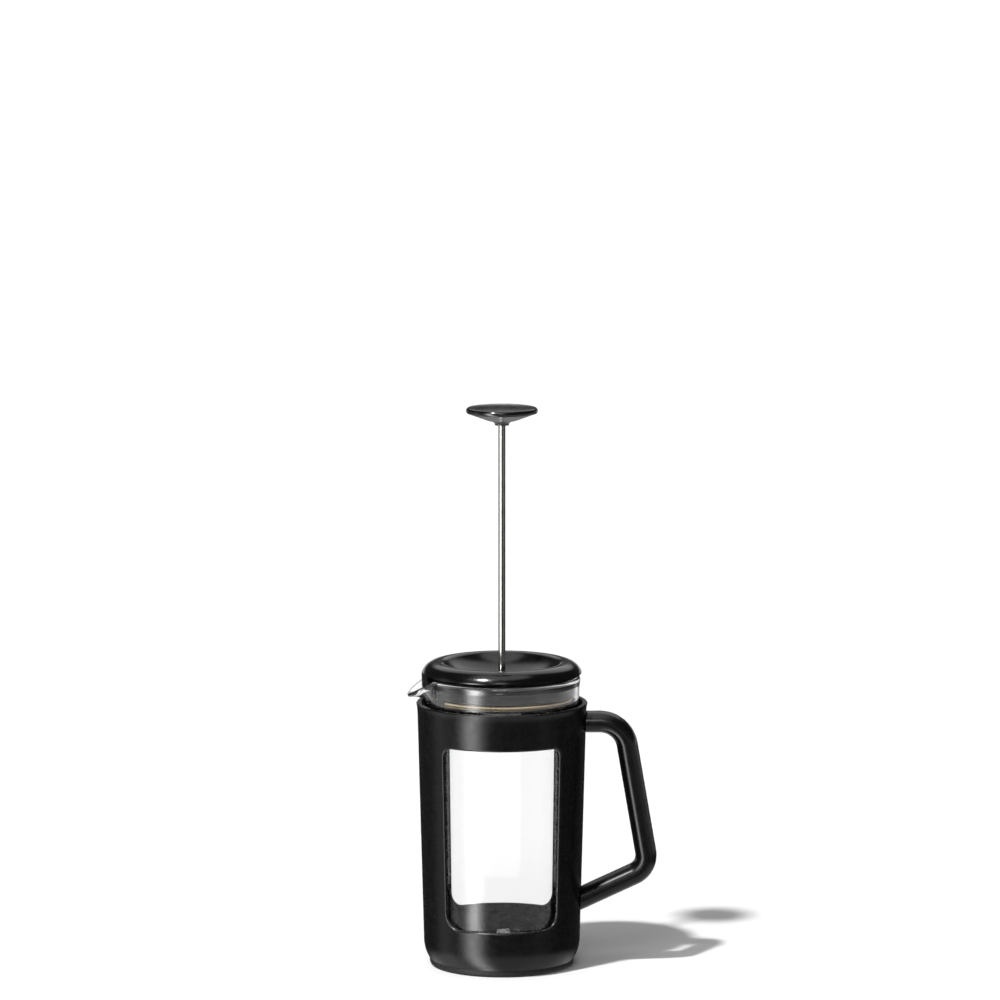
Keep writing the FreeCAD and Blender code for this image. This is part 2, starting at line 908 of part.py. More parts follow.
def make_knob():
    """Disc knob: a satin cone below, a glossy cap above and a threaded insert inside."""
    cone = new_body("knob_base", "knob_level")
    revolve(
        cone,
        "cone",
        [
            ("insert_radius", ""),
            ("neck_radius", ""),
            ("neck_radius", "neck_height"),
            ("cone_low_radius", "cone_low"),
            ("cone_high_radius", "cone_high"),
            ("", "cone_high"),
            ("", "insert_height"),
            ("insert_radius", "insert_height"),
        ],
        {2: "- neck_bend"},
    )
    cap = new_body("knob_cap", "knob_level")
    revolve(
        cap,
        "cap",
        [
            ("", "cone_high"),
            ("cone_high_radius", "cone_high"),
            ("knob_radius", "knob_widest"),
            ("knob_shoulder_radius", "knob_shoulder"),
            ("", "knob_height"),
        ],
        {1: "knob_low_bend", 2: "knob_shoulder_bend", 3: "knob_dome_bend"},
    )
    insert = new_body("knob_insert", "knob_level")
    revolve(
        insert,
        "insert",
        [
            ("rod_radius", ""),
            ("insert_radius", ""),
            ("insert_radius", "insert_height"),
            ("", "insert_height"),
            ("", "rod_in_knob"),
            ("rod_radius", "rod_in_knob"),
        ],
    )


def make_rod():
    """Polished rod from the nut under the filter up into the knob."""
    body = new_body("rod")
    low = "filter_level - nut_bore"
    high = "knob_level + rod_in_knob"
    revolve(
        body,
        "bar",
        [
            ("", low),
            ("rod_radius - rod_chamfer", low),
            ("rod_radius", f"{low} + rod_chamfer"),
            ("rod_radius", f"{high} - rod_chamfer"),
            ("rod_radius - rod_chamfer", high),
            ("", high),
        ],
    )


def make_filter():
    """Cross plate, mesh, spring plate and coil spring, clamped between nut and collar."""
    mesh_low = "plate_lip"
    mesh_high = "plate_lip + mesh_wall"
    spring_plate_high = f"{mesh_high} + spring_plate_wall"

    plate = new_body("cross_plate", "filter_level")
    revolve(
        plate,
        "dished_disc",
        [
            ("rod_radius", ""),
            ("plate_radius - plate_wall", ""),
            ("plate_radius", "plate_wall"),
            ("plate_radius", "plate_lip"),
            ("plate_radius - plate_wall", "plate_lip"),
            ("plate_radius - plate_wall", "plate_wall"),
            ("rod_radius", "plate_wall"),
        ],
        {1: "plate_wall"},
    )
    window = groove(
        plate,
        "opening",
        [
            ("plate_window_inner", "- plate_wall"),
            ("plate_window_outer", "- plate_wall"),
            ("plate_window_outer", "plate_lip"),
            ("plate_window_inner", "plate_lip"),
        ],
        angle="plate_window_angle",
    )
    polar_pattern(plate, "openings", window, "plate_window_count", FULL_TURN)

    mesh = new_body("mesh_screen", "filter_level")
    revolve(
        mesh,
        "disc",
        [
            ("rod_radius", mesh_low),
            ("mesh_radius", mesh_low),
            ("mesh_radius", mesh_high),
            ("rod_radius", mesh_high),
        ],
    )

    carrier = new_body("spring_plate", "filter_level")
    revolve(
        carrier,
        "disc",
        [
            ("rod_radius", mesh_high),
            ("spring_plate_radius", mesh_high),
            ("spring_plate_radius", spring_plate_high),
            ("rod_radius", spring_plate_high),
        ],
    )
    hole = primitive(
        carrier,
        "SubtractiveCylinder",
        "hole",
        FreeCAD.Placement(FreeCAD.Vector(value("spring_hole_circle"), 0, 0), FreeCAD.Rotation()),
        Radius="spring_hole_radius",
        Height="nut_height",
    )
    polar_pattern(carrier, "holes", hole, "spring_hole_count", FULL_TURN)

    coil = doc.addObject("Part::Torus", "edge_spring")
    coil.Label = "edge_spring"
    coil.setExpression("Radius1", "Sheet.spring_ring")
    coil.setExpression("Radius2", "Sheet.spring_coil")
    coil.setExpression(
        "Placement.Base.z", formula(f"filter_level + {mesh_high} + spring_coil")
    )
    sub_parts.append(coil)

    collar = new_body("rod_collar", "filter_level")
    revolve(
        collar,
        "ring",
        [
            ("rod_radius", spring_plate_high),
            ("collar_radius", spring_plate_high),
            ("collar_radius", f"{spring_plate_high} + collar_height - rod_chamfer"),
            ("collar_radius - rod_chamfer", f"{spring_plate_high} + collar_height"),
            ("rod_radius", f"{spring_plate_high} + collar_height"),
        ],
    )

    nut = new_body("hub_nut", "filter_level - nut_height")
    prism = primitive(
        nut,
        "AdditivePrism",
        "hexagon",
        FreeCAD.Placement(),
        Circumradius="nut_radius",
        Height="nut_height",
    )
    prism.Polygon = HEXAGON
    doc.recompute()
    groove(
        nut,
        "bore",
        [
            ("", "nut_height - nut_bore"),
            ("rod_radius", "nut_height - nut_bore"),
            ("rod_radius", "nut_height"),
            ("", "nut_height"),
        ],
    )


def export(folder="parts"):
    """Check every object and write one file for each sub-part."""
    for item in doc.Objects:
        if "Invalid" in item.State or "Error" in item.State:
            raise RuntimeError(f"{item.Name} is in state {item.State}")
    os.makedirs(folder, exist_ok=True)
    for item in sub_parts:
        if item.Shape.isNull() or not item.Shape.isValid():
            raise RuntimeError(f"{item.Label} has no valid shape")
        item.Shape.exportStep(os.path.join(folder, f"{item.Label}.step"))
        print(f"{item.Label}: {len(item.Shape.Solids)} solid, {item.Shape.Volume:.0f} mm3")


make_foot_pad()
make_frame_shell()
make_handle()
make_handle_screw("high")
make_handle_screw("low")
make_glass_carafe()
make_lid_cover()
make_lid_body()
make_spout_louvre()
make_strainer_panel()
make_rod_bush()
make_knob()
make_rod()
make_filter()
doc.recompute()
export()
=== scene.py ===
import json
import math

import bmesh
import bpy
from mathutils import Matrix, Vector


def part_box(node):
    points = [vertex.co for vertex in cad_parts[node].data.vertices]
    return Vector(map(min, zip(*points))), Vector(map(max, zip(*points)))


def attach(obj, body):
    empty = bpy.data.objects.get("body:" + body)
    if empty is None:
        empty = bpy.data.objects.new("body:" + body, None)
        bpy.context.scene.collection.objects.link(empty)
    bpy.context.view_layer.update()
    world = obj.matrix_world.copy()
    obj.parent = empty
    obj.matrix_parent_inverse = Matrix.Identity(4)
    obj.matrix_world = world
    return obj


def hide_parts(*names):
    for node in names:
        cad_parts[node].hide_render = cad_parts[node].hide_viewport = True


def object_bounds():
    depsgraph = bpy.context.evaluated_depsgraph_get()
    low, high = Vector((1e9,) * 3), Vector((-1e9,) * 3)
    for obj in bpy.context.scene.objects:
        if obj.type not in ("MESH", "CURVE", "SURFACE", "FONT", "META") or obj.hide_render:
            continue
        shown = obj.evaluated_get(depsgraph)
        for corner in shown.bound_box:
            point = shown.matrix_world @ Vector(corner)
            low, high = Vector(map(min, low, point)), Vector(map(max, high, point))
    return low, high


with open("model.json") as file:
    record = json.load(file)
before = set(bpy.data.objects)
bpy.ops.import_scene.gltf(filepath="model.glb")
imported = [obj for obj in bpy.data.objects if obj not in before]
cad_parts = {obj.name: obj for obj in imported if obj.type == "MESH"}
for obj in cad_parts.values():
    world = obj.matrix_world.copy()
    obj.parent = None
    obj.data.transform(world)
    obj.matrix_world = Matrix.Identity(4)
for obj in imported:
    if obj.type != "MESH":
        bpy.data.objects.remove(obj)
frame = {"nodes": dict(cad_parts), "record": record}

# A french press: black window frame with a handle, glass carafe, lid with a pouring strainer and a
# plunger. The CAD nodes keep their shape and get their finishes here. The glass, the handle, the
# strainer and the filter's edge are made again in mesh code, in the room that their nodes hold.

cad_low, cad_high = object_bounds()

MM = 0.001
FULL_TURN = 2 * math.pi
SPOUT_SIDE = math.pi  # direction of the spout about the axis, from +X
SHARP_ANGLE = math.radians(40)  # edges that turn more than this are rounded
WAVE_TURN = 20  # radians that Blender's wave texture turns in one unit of length


# ---------------------------------------------------------------- mesh helpers


def span(node):
    """Lowest and highest corner of a CAD node, in millimetres."""
    low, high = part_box(node)
    return Vector(low) / MM, Vector(high) / MM


def add_object(name, mesh_data, body, material):
    """Link a finished mesh as a piece that rides on a body."""
    piece = bpy.data.objects.new(name, mesh_data)
    bpy.context.scene.collection.objects.link(piece)
    piece.data.materials.append(material)
    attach(piece, body)
    return piece


def mesh_from(name, build):
    """A smooth mesh filled by a function that gets an empty bmesh, in millimetres."""
    grid = bmesh.new()
    build(grid)
    bmesh.ops.scale(grid, vec=(MM, MM, MM), verts=grid.verts)
    bmesh.ops.recalc_face_normals(grid, faces=grid.faces)
    for face in grid.faces:
        face.smooth = True
    data = bpy.data.meshes.new(name)
    grid.to_mesh(data)
    grid.free()
    return data


def polar(radius, angle, height):
    """A point from its radius, angle about the axis and height."""
    return Vector((radius * math.cos(angle), radius * math.sin(angle), height))


def section_at(grid, section, angle):
    """Vertices of an outline of (radius, height) points, turned to an angle about the axis."""
    return [grid.verts.new(polar(radius, angle, height)) for radius, height in section]


def bridge(grid, ring, following):
    """Quads between two closed rings of the same number of vertices."""
    for index, vertex in enumerate(ring):
        beside = (index + 1) % len(ring)
        grid.faces.new((vertex, ring[beside], following[beside], following[index]))


def sweep_section(grid, section, start, finish, steps):
    """Turn a closed outline of (radius, height) points from one angle to another, with ends."""
    rings = []
    for step in range(steps + 1):
        angle = start + (finish - start) * step / steps
        rings.append(section_at(grid, section, angle))
    for ring, following in zip(rings, rings[1:]):
        bridge(grid, ring, following)
    grid.faces.new(rings[0])
    grid.faces.new(list(reversed(rings[-1])))


def rectangle(inner, outer, low, high):
    """The outline of a plain bar."""
    return [(inner, low), (outer, low), (outer, high), (inner, high)]


def soften(piece, width, segments=3):
    """Round the sharp edges of a piece and keep its flats flat."""
    bevel = piece.modifiers.new("soft edges", "BEVEL")
    bevel.width = width * MM
    bevel.segments = segments
    bevel.limit_method = "ANGLE"
    bevel.angle_limit = SHARP_ANGLE
    bevel.harden_normals = True
    piece.modifiers.new("clean shading", "WEIGHTED_NORMAL").keep_sharp = True


def ease(amount):
    """Smooth step from 0 to 1."""
    amount = min(max(amount, 0.0), 1.0)
    return amount * amount * (3 - 2 * amount)


def smooth_max(first, second, blend):
    """The larger of two lengths, rounded where they are closer than the blend."""
    near = max(blend - abs(first - second), 0.0) / blend
    return max(first, second) + near * near * blend / 4


# ---------------------------------------------------------------- material helpers


class Finish:
    """A material in the making: its shader and the nodes that feed it."""

    def __init__(self, name, colour, roughness):
        self.material = bpy.data.materials.new(name)
        self.material.use_nodes = True
        self.tree = self.material.node_tree
        self.shader = self.tree.nodes["Principled BSDF"]
        self.shader.inputs["Base Color"].default_value = (*colour, 1)
        self.shader.inputs["Roughness"].default_value = roughness
        self.material.diffuse_color = (*colour, 1)

    def set(self, **numbers):
        """Plain numbers on the shader's own sockets, with _ for a space."""
        for socket, number in numbers.items():
            self.shader.inputs[socket.replace("_", " ")].default_value = number

    def node(self, kind, **settings):
        node = self.tree.nodes.new(kind)
        for name, setting in settings.items():
            setattr(node, name, setting)
        return node

    def link(self, output, socket):
        self.tree.links.new(output, socket)

    def place(self, stretch=(1, 1, 1)):
        """The piece's own coordinates in metres, stretched along each axis."""
        where = self.node("ShaderNodeTexCoord")
        mapping = self.node("ShaderNodeMapping")
        mapping.inputs["Scale"].default_value = stretch
        self.link(where.outputs["Object"], mapping.inputs["Vector"])
        return mapping.outputs["Vector"]

    def noise(self, size, detail=3.0, stretch=(1, 1, 1), distortion=0.0):
        """Cloudy pattern whose patches are about the given size in millimetres."""
        texture = self.node("ShaderNodeTexNoise")
        texture.inputs["Scale"].default_value = 1 / (size * MM)
        texture.inputs["Detail"].default_value = detail
        texture.inputs["Distortion"].default_value = distortion
        self.link(self.place(stretch), texture.inputs["Vector"])
        return texture.outputs["Fac"]

    def wave(self, pitch, direction):
        """Even ridges of the given pitch in millimetres."""
        texture = self.node("ShaderNodeTexWave", bands_direction=direction, wave_profile="SIN")
        texture.inputs["Scale"].default_value = FULL_TURN / WAVE_TURN / (pitch * MM)
        self.link(self.place(), texture.inputs["Vector"])
        return texture.outputs["Fac"]

    def between(self, factor, low, high, start=0.3, finish=0.7):
        """A pattern turned into numbers from low to high."""
        span_node = self.node("ShaderNodeMapRange")
        span_node.inputs["From Min"].default_value = start
        span_node.inputs["From Max"].default_value = finish
        span_node.inputs["To Min"].default_value = low
        span_node.inputs["To Max"].default_value = high
        self.link(factor, span_node.inputs["Value"])
        return span_node.outputs["Result"]

    def colours(self, factor, low, high, start=0.3, finish=0.7):
        """A pattern turned into colours from low to high."""
        ramp = self.node("ShaderNodeValToRGB")
        ramp.color_ramp.elements[0].position = start
        ramp.color_ramp.elements[0].color = (*low, 1)
        ramp.color_ramp.elements[1].position = finish
        ramp.color_ramp.elements[1].color = (*high, 1)
        self.link(factor, ramp.inputs["Fac"])
        self.link(ramp.outputs["Color"], self.shader.inputs["Base Color"])
        return ramp

    def rough(self, factor, low, high):
        """Roughness that follows a pattern."""
        self.link(self.between(factor, low, high), self.shader.inputs["Roughness"])

    def bumps(self, *layers):
        """Relief from (pattern, depth in millimetres) layers, laid over each other."""
        normal = None
        for factor, depth in layers:
            bump = self.node("ShaderNodeBump")
            bump.inputs["Distance"].default_value = depth * MM
            self.link(factor, bump.inputs["Height"])
            if normal:
                self.link(normal, bump.inputs["Normal"])
            normal = bump.outputs["Normal"]
        self.link(normal, self.shader.inputs["Normal"])

    def product(self, first, second):
        multiply = self.node("ShaderNodeMath", operation="MULTIPLY")
        self.link(first, multiply.inputs[0])
        self.link(second, multiply.inputs[1])
        return multiply.outputs[0]


# ---------------------------------------------------------------- materials


BLACK = (0.0015, 0.0015, 0.0015)
BLACK_DARKER = (0.0011, 0.0011, 0.0011)
BLACK_LIGHTER = (0.0022, 0.0022, 0.0021)
# Glass colours face-on, turned and edge-on: the turned and edge-on greys are painted shade for the
# glass's edges.
GLASS_FACE_ON = (0.985, 0.987, 0.986)
GLASS_TURNED_SHADED = (0.83, 0.835, 0.833)
GLASS_EDGE_ON_SHADED = (0.5, 0.505, 0.505)


def satin_black_plastic():
    """Moulded plastic with a fine spark-eroded grain and a slow wave from shrinkage."""
    finish = Finish("satin_black_plastic", BLACK, 0.27)
    finish.set(IOR=1.46, Specular_IOR_Level=0.4)
    finish.colours(finish.noise(9, 5), BLACK_DARKER, BLACK_LIGHTER)
    finish.rough(finish.noise(5, 6), 0.24, 0.31)
    finish.bumps((finish.noise(42, 1), 0.09), (finish.noise(0.35, 2), 0.002))
    return finish.material


def gloss_black_plastic():
    """Glossy plastic with a trace of orange peel and faint wiping marks."""
    finish = Finish("gloss_black_plastic", BLACK, 0.17)
    finish.set(IOR=1.5, Specular_IOR_Level=0.5)
    finish.colours(finish.noise(12, 4), BLACK_DARKER, BLACK_LIGHTER)
    wipes = finish.noise(3, 5, stretch=(1, 0.18, 1), distortion=0.6)
    finish.rough(wipes, 0.14, 0.21)
    finish.bumps((finish.noise(22, 1), 0.05), (finish.noise(1.4, 2), 0.004))
    return finish.material


def lid_black_plastic():
    """Semi-gloss plastic of the lid's lower shell, drawn upwards out of its mould."""
    finish = Finish("lid_black_plastic", BLACK, 0.2)
    finish.set(IOR=1.5, Specular_IOR_Level=0.45)
    finish.colours(finish.noise(7, 4), BLACK_DARKER, BLACK_LIGHTER)
    finish.rough(finish.noise(1.6, 4, stretch=(1, 1, 0.08)), 0.18, 0.24)
    finish.bumps((finish.noise(2.4, 2, stretch=(1, 1, 0.06)), 0.002),)
    return finish.material


def knob_base_plastic():
    """Satin plastic under the knob, a little lighter than the cap."""
    finish = Finish("knob_base_plastic", (0.03, 0.03, 0.03), 0.34)
    finish.set(IOR=1.5, Specular_IOR_Level=0.6)
    finish.colours(finish.noise(5, 4), (0.022, 0.022, 0.022), (0.036, 0.036, 0.035))
    finish.rough(finish.noise(2, 5), 0.28, 0.38)
    finish.bumps((finish.noise(0.4, 2), 0.004),)
    return finish.material


def foot_rubber():
    """Matt rubber with a powdery grain."""
    finish = Finish("foot_rubber", (0.007, 0.007, 0.007), 0.6)
    finish.set(IOR=1.5, Specular_IOR_Level=0.35)
    finish.colours(finish.noise(4, 6), (0.005, 0.005, 0.005), (0.0095, 0.0095, 0.009))
    finish.rough(finish.noise(1.5, 6), 0.5, 0.68)
    finish.bumps((finish.noise(0.5, 3), 0.02),)
    return finish.material


def clear_glass():
    """Blown borosilicate with the slow ripple of its making, and painted shade where it turns
    edge-on.
    """
    finish = Finish("clear_glass", (0.975, 0.985, 0.98), 0.0)
    finish.set(IOR=1.47, Transmission_Weight=1.0)
    # Painted shade: the glass's colour darkens from face-on to edge-on, standing in for the grey
    # edges that reflection and refraction give.
    turned = finish.node("ShaderNodeLayerWeight")
    turned.inputs["Blend"].default_value = 0.5
    edge_shade_ramp = finish.colours(turned.outputs["Facing"], GLASS_FACE_ON, GLASS_TURNED_SHADED, 0.15, 0.75)
    edge_shade_ramp.color_ramp.elements.new(1.0).color = (*GLASS_EDGE_ON_SHADED, 1)
    finish.rough(finish.noise(30, 3), 0.0, 0.012)
    finish.bumps((finish.noise(26, 1, stretch=(1, 1, 0.25)), 0.02),)
    return finish.material


def brushed_metal(name, colour, low, high, grain, stretch):
    """Metal with drawn lines: grain is their width and stretch their direction."""
    finish = Finish(name, colour, low)
    finish.set(Metallic=1.0)
    dark = tuple(0.86 * part for part in colour)
    finish.colours(finish.noise(6, 4), dark, colour)
    lines = finish.noise(grain, 3, stretch=stretch)
    finish.rough(lines, low, high)
    finish.bumps((lines, 0.0008),)
    return finish.material


def filter_mesh():
    """Woven wire cloth: two sets of ridges that cross, with painted shade in the gaps between the
    wires.
    """
    finish = Finish("filter_mesh", (0.66, 0.58, 0.44), 0.3)
    finish.set(Metallic=1.0)
    warp = finish.wave(0.5, "X")
    weft = finish.wave(0.5, "Y")
    weave_and_gap_shade = finish.product(warp, weft)
    # Painted shade: the colour is dark in the gaps between the wires and is the wires' own colour
    # where they cross.
    finish.colours(weave_and_gap_shade, (0.2, 0.17, 0.12), (0.74, 0.64, 0.48))
    finish.rough(finish.noise(3, 4), 0.26, 0.4)
    finish.bumps((weave_and_gap_shade, 0.12),)
    return finish.material


def floor_paint():
    """Plain pale floor with a hardly visible mottle."""
    finish = Finish("floor_paint", (0.63, 0.63, 0.63), 0.9)
    finish.set(Specular_IOR_Level=0.0)
    finish.colours(finish.noise(300, 2), (0.625, 0.625, 0.625), (0.635, 0.635, 0.635))
    return finish.material


STEEL = (0.62, 0.61, 0.59)
ROD_STEEL = (0.74, 0.73, 0.71)
CHAMPAGNE = (0.80, 0.66, 0.44)
BRASS = (0.70, 0.52, 0.26)
ROUND_GRAIN = (1, 1, 6)
LONG_GRAIN = (1, 1, 0.02)

MATERIALS = {
    "satin_black_plastic": satin_black_plastic(),
    "gloss_black_plastic": gloss_black_plastic(),
    "lid_black_plastic": lid_black_plastic(),
    "knob_base_plastic": knob_base_plastic(),
    "foot_rubber": foot_rubber(),
    "clear_glass": clear_glass(),
    "stainless_steel": brushed_metal("stainless_steel", STEEL, 0.2, 0.32, 0.8, ROUND_GRAIN),
    "polished_rod": brushed_metal("polished_rod", ROD_STEEL, 0.12, 0.18, 1.2, LONG_GRAIN),
    "filter_edge": brushed_metal("filter_edge", CHAMPAGNE, 0.28, 0.4, 0.8, ROUND_GRAIN),
    "filter_mesh": filter_mesh(),
    "brass_insert": brushed_metal("brass_insert", BRASS, 0.22, 0.34, 0.6, ROUND_GRAIN),
}


def dress_cad_nodes():
    """Give each CAD node the finish that its slot in the record names."""
    for part in frame["record"]["subparts"]:
        for slot in frame["nodes"][part["node"]].material_slots:
            slot.material = MATERIALS[part["material_slot"]]


# ---------------------------------------------------------------- glass carafe


GLASS_WALL = 2.1
BEAD = 1.5  # radius of the rounded rim
GLASS_LOW_RADIUS = 47.8
GLASS_HIGH_RADIUS = 49.3
GLASS_LOW_BEND = 9.0
GLASS_FLOOR = 3.0
KICK_RADIUS = 28.0
KICK_HEIGHT = 1.4
SPOUT_CENTRE = 38.0  # the spout's lip is part of a circle set off the axis
SPOUT_RADIUS = 22.3
SPOUT_MOUTH = 44.0  # the lip falls from this distance outwards
LIP_FALL = 0.68  # how steeply it falls
FALL_BLEND = 3.0  # how softly the fall starts
LIP_BLEND = 6.0  # how softly the spout's lip leaves the round rim
LIP_RISE = 7.0  # the lip reaches its full fall over this much of its pull
SPOUT_ROOT = 16.5  # how far below the rim the wall starts to lean out
FULL_LEAN = 9.0  # the wall leans fully where the lip is pulled this far
ROOT_PULL = (0.45, 0.27)  # the curve's pull at the spout's root: plain, and added by the lean
RIM_PULL = (0.3, 0.24)  # its pull at the rim: plain, and taken off by the lean
RIM_INWARD = (0.1, 0.12, 0.42)  # how far it comes from inside: plain, by pull, by pull and lean
GLASS_STEPS = 288
KICK_STEPS = 8
FOOT_STEPS = 10
SIDE_STEPS = 12
WALL_STEPS = 18
BEAD_START = 13  # step of the wall from which it thickens into the bead
CAP_STEPS = 10


def beaker_bottom(low, inside):
    """Outline of the bottom from the axis outwards, on the outer or the inner side."""
    lift = GLASS_FLOOR if inside else 0.0
    bend = GLASS_LOW_BEND - GLASS_WALL if inside else GLASS_LOW_BEND
    reach = GLASS_LOW_RADIUS - (GLASS_WALL if inside else 0.0)
    points = []
    for step in range(KICK_STEPS + 1):
        out = KICK_RADIUS * step / KICK_STEPS
        points.append((out, low + lift + KICK_HEIGHT * (1 - ease(out / KICK_RADIUS))))
    flat = reach - bend
    points.append(((KICK_RADIUS + flat) / 2, low + lift))
    for step in range(FOOT_STEPS + 1):
        turn = math.pi / 2 * step / FOOT_STEPS
        points.append((flat + bend * math.sin(turn), low + lift + bend * (1 - math.cos(turn))))
    return points


def lip_centre(angle, top):
    """Radius, height and outward pull of the rim's middle at an angle from the spout's."""
    across = SPOUT_CENTRE * math.sin(angle)
    plain = GLASS_HIGH_RADIUS - GLASS_WALL + BEAD
    level = top - BEAD
    if math.cos(angle) <= 0 or abs(across) >= SPOUT_RADIUS:
        return plain, level, 0.0
    reach = math.sqrt(SPOUT_RADIUS**2 - across**2)
    pulled = SPOUT_CENTRE * math.cos(angle) + reach - BEAD
    radius = smooth_max(plain, pulled, LIP_BLEND)
    fall = smooth_max(radius * math.cos(angle) - SPOUT_MOUTH, 0.0, FALL_BLEND)
    share = ease((pulled - plain + LIP_BLEND) / LIP_RISE)
    return radius, level - LIP_FALL * fall * share, radius - plain


def bezier(points, amount):
    """A point and direction on a cubic curve."""
    rest = 1 - amount
    a, b, c, d = points
    where = a * rest**3 + b * 3 * rest**2 * amount + c * 3 * rest * amount**2 + d * amount**3
    along = (b - a) * rest**2 + (c - b) * 2 * rest * amount + (d - c) * amount**2
    return where, along.normalized()


def upper_wall(angle, top):
    """Middle line of the wall from the root of the spout up to the rim, with directions."""
    radius, height, pull = lip_centre(angle, top)
    middle = GLASS_HIGH_RADIUS - GLASS_WALL / 2
    lean = ease(pull / FULL_LEAN)
    root = Vector((middle, top - SPOUT_ROOT))
    end = Vector((radius, height))
    rise = end.y - root.y
    plain, added = ROOT_PULL
    upright = root + Vector((0, rise * (plain + added * lean)))
    plain, taken = RIM_PULL
    still, by_pull, by_lean = RIM_INWARD
    inward = Vector((by_pull * pull + still, rise * (plain - taken * lean)))
    controls = (root, upright, end - inward - Vector((by_lean * pull * lean, 0)), end)
    return [bezier(controls, step / WALL_STEPS) for step in range(WALL_STEPS + 1)]


def glass_outline(angle, low, top):
    """Closed outline of the glass at one angle: up the outside, over the rim, down inside."""
    outer = beaker_bottom(low, inside=False)
    inner = beaker_bottom(low, inside=True)
    side_low = low + GLASS_LOW_BEND
    side_high = top - SPOUT_ROOT
    line = upper_wall(angle, top)
    for step in range(1, SIDE_STEPS):
        share = step / SIDE_STEPS
        height = side_low + (side_high - side_low) * share
        radius = GLASS_LOW_RADIUS + (GLASS_HIGH_RADIUS - GLASS_LOW_RADIUS) * share
        outer.append((radius, height))
        inner.append((radius - GLASS_WALL, max(height, low + GLASS_FLOOR + GLASS_LOW_BEND)))
    for step, (where, along) in enumerate(line):
        swell = ease((step - BEAD_START) / (WALL_STEPS - BEAD_START))
        thick = GLASS_WALL / 2 + (BEAD - GLASS_WALL / 2) * swell
        side = Vector((along.y, -along.x)) * thick
        outer.append(tuple(where + side))
        inner.append(tuple(where - side))
    end, along = line[-1]
    side = Vector((along.y, -along.x))
    cap = []
    for step in range(1, CAP_STEPS):
        turn = math.pi * step / CAP_STEPS
        cap.append(tuple(end + (side * math.cos(turn) + along * math.sin(turn)) * BEAD))
    return outer + cap + list(reversed(inner))


def make_glass():
    """The carafe as one closed skin of glass, with a pulled spout."""
    low, high = span("glass_carafe")
    middle = glass_outline(0, low.z, high.z)

    def build(grid):
        columns = []
        for step in range(GLASS_STEPS):
            around = FULL_TURN * step / GLASS_STEPS
            off_spout = math.atan2(math.sin(around - SPOUT_SIDE), math.cos(around - SPOUT_SIDE))
            outline = glass_outline(off_spout, low.z, high.z)
            columns.append(section_at(grid, outline[1:-1], around))
        bottom = grid.verts.new((0, 0, middle[0][1]))
        floor = grid.verts.new((0, 0, middle[-1][1]))
        for column, beside in zip(columns, columns[1:] + columns[:1]):
            for index in range(len(column) - 1):
                corners = (column[index], beside[index], beside[index + 1], column[index + 1])
                grid.faces.new(corners)
            grid.faces.new((bottom, beside[0], column[0]))
            grid.faces.new((floor, column[-1], beside[-1]))

    data = mesh_from("carafe_glass", build)
    piece = add_object("carafe_glass", data, "carafe", MATERIALS["clear_glass"])
    piece.visible_shadow = False
    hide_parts("glass_carafe")


# ---------------------------------------------------------------- handle


HANDLE_THICK = 13.6
GRIP_LEAN = math.radians(9.8)
ARM_SLOPE = math.radians(25.0)
HIGH_BEND = 17.8
LOW_BEND = 13.4
GRIP_LOW = 72.6  # height where the grip ends and the lower bend starts
GRIP_OUT = 80.1  # distance from the axis where the upper bend ends
HANDLE_FULLNESS = 0.88  # below 1 the section is fuller than an oval
HANDLE_SECTION_STEPS = 56
ROOT_STEPS = 4
BEND_STEPS = 24
GRIP_STEPS = 24
ARM_STEPS = 12
ROOT_START = 1.5  # the sweep starts this far from the frame's wall
ROOT_INSET = 1.0  # how far the ends stand inside the frame's wall
ROOT_SEAM = 0.45  # the neck at each end is this much smaller, and shows as a dark seam
NECK_GAP = 0.25  # where the neck ends, outside the wall
FULL_GAPS = (0.4, 0.8)  # where the full section starts, outside the wall
FIT_ROUNDS = 6
WALL_LOW = (17.0, 50.0)  # height and outer radius where the frame's straight taper starts
WALL_HIGH = (164.0, 53.95)


def frame_wall(height):
    """Outer radius of the frame's tapered wall at a height."""
    share = (height - WALL_LOW[0]) / (WALL_HIGH[0] - WALL_LOW[0])
    return WALL_LOW[1] + (WALL_HIGH[1] - WALL_LOW[1]) * share


def straight(first, last, side, steps):
    """Stations along a straight run, each with its place and outward side."""
    return [(first.lerp(last, step / steps), side) for step in range(steps + 1)]


def bend(centre, radius, first, last, steps):
    """Stations round a bend from one direction to another, without its two ends."""
    stations = []
    for step in range(1, steps):
        turn = first + (last - first) * step / steps
        side = Vector((math.cos(turn), math.sin(turn)))
        stations.append((centre + side * radius, side))
    return stations


